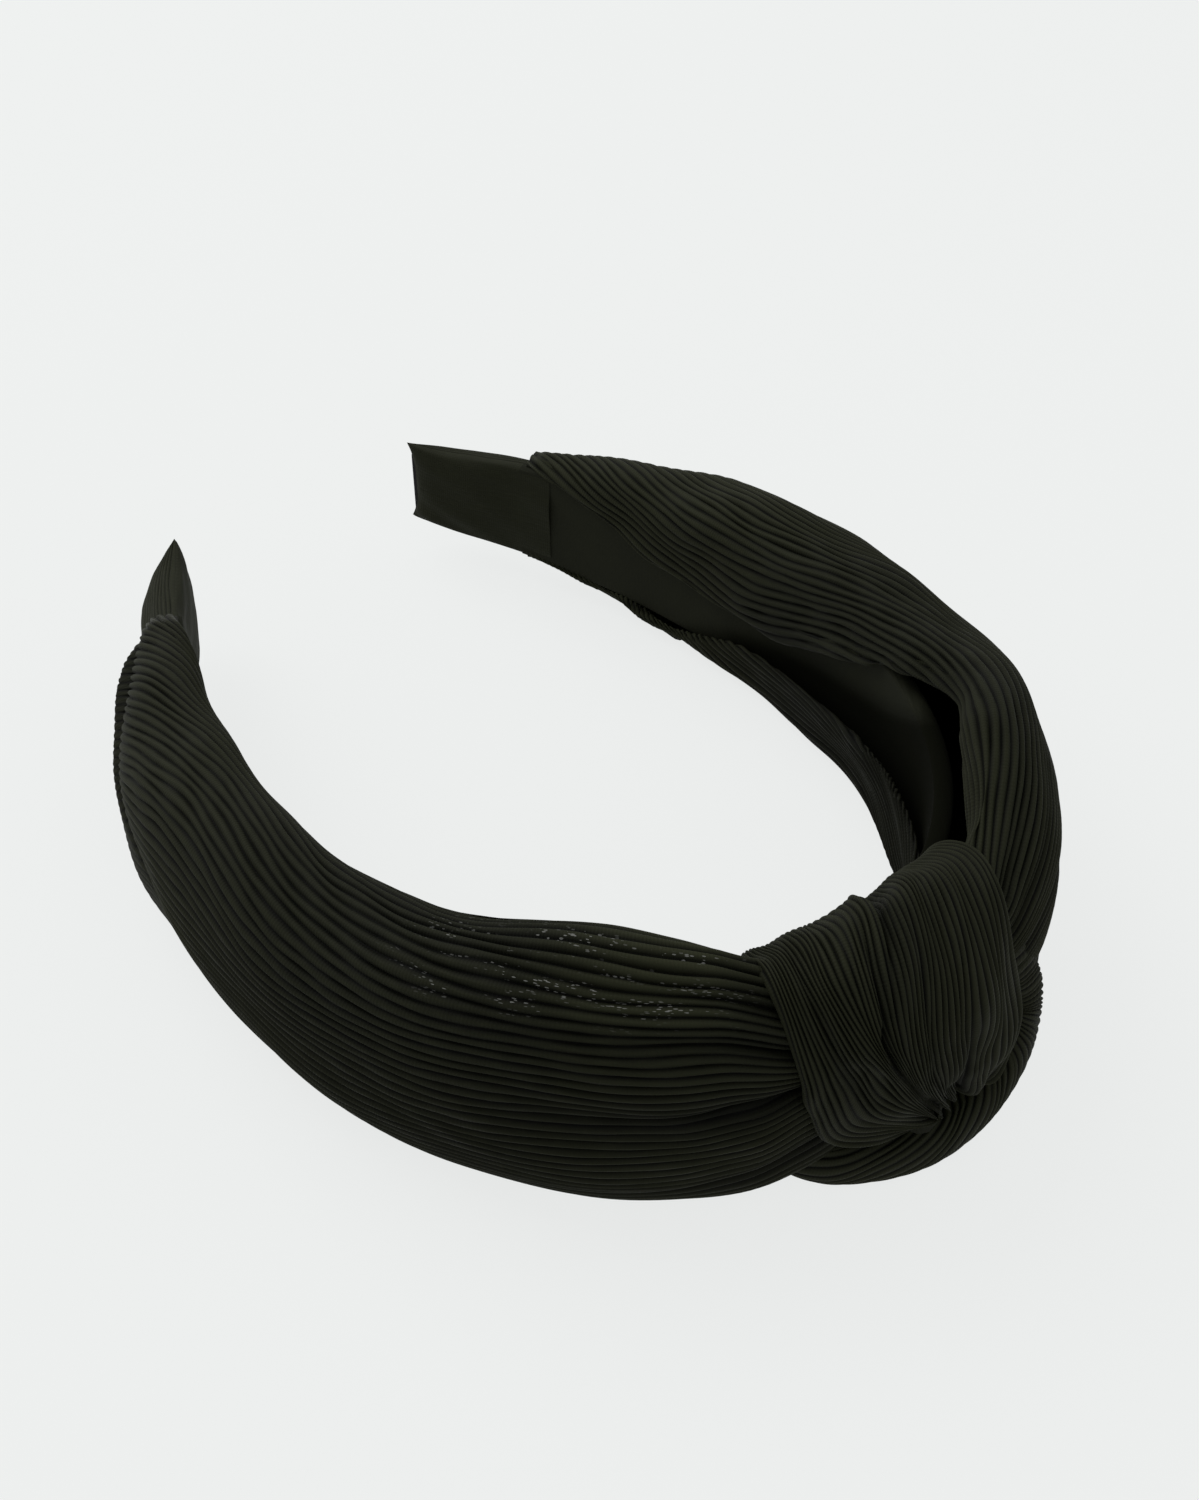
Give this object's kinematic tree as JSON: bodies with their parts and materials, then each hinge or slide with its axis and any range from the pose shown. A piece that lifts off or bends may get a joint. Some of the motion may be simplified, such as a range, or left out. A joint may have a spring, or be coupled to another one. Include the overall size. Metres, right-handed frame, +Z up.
{
  "type": "knotted headband",
  "caption": "C-shaped sprung headband in ribbed near-black fabric, with puffed arms, a smooth inner lining, flat wrapped tips and a gathered knot at the crown.",
  "frame": {"origin": "middle of the bounding box in X and Y, on the surface the headband lies on", "axes": "The headband lies on one long edge. +Z is up, across the band's width. +Y runs from the knot at the crown towards the open end between the tips. +X is towards the right arm."},
  "size_m": [0.1412, 0.1818, 0.0507],
  "materials": {
    "ribbed_fabric": "pleated knit, soft sheen",
    "smooth_fabric": "plain weave, matte",
    "core_plastic": "matte moulded"
  },
  "bodies": {
    "crown": {"crown_core": "core_plastic", "crown_lining": "smooth_fabric", "knot_back_loop": "ribbed_fabric", "knot_front_loop": "ribbed_fabric"},
    "left_arm": {"left_core": "core_plastic", "left_lining": "smooth_fabric", "left_cover": "ribbed_fabric", "left_end_wrap": "smooth_fabric"},
    "right_arm": {"right_core": "core_plastic", "right_lining": "smooth_fabric", "right_cover": "ribbed_fabric", "right_end_wrap": "smooth_fabric"}
  },
  "joints": [
    {"name": "left_arm_flex", "type": "hinge", "parent": "crown", "child": "left_arm", "pos_m": [-0.01924, -0.06278, 0.021], "axis": [0, 0, 1], "range_deg": [0, 12], "stiffness_Nm_per_rad": 1},
    {"name": "right_arm_flex", "type": "hinge", "parent": "crown", "child": "right_arm", "pos_m": [0.01924, -0.06278, 0.021], "axis": [0, 0, -1], "range_deg": [0, 12], "stiffness_Nm_per_rad": 1}
  ]
}
